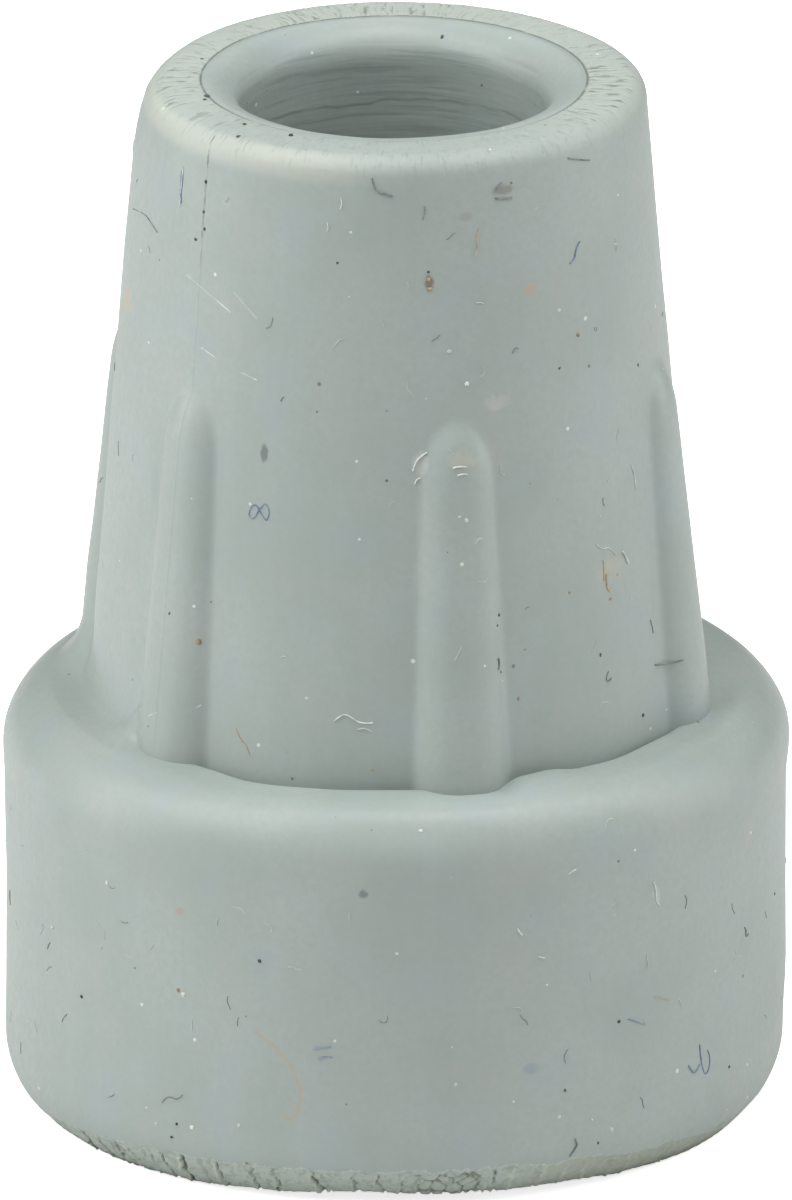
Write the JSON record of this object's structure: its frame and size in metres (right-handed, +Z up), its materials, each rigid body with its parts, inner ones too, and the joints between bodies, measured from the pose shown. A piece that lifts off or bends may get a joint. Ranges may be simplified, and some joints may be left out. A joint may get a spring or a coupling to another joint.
{
  "type": "rubber cane tip",
  "caption": "Moulded rubber tip with a ribbed, tapered neck on a wide round foot; it pushes onto the end of a walking cane's shaft.",
  "frame": {"origin": "centre of the sole, on the ground plane", "axes": "+Z up along the bore and the shaft; -Y towards one of the ribs on the neck"},
  "size_m": [0.041, 0.041, 0.0556],
  "materials": {
    "grey_rubber": "satin",
    "lint_and_grit": "matte"
  },
  "bodies": {
    "root": {"cane_tip": "grey_rubber"}
  },
  "joints": []
}
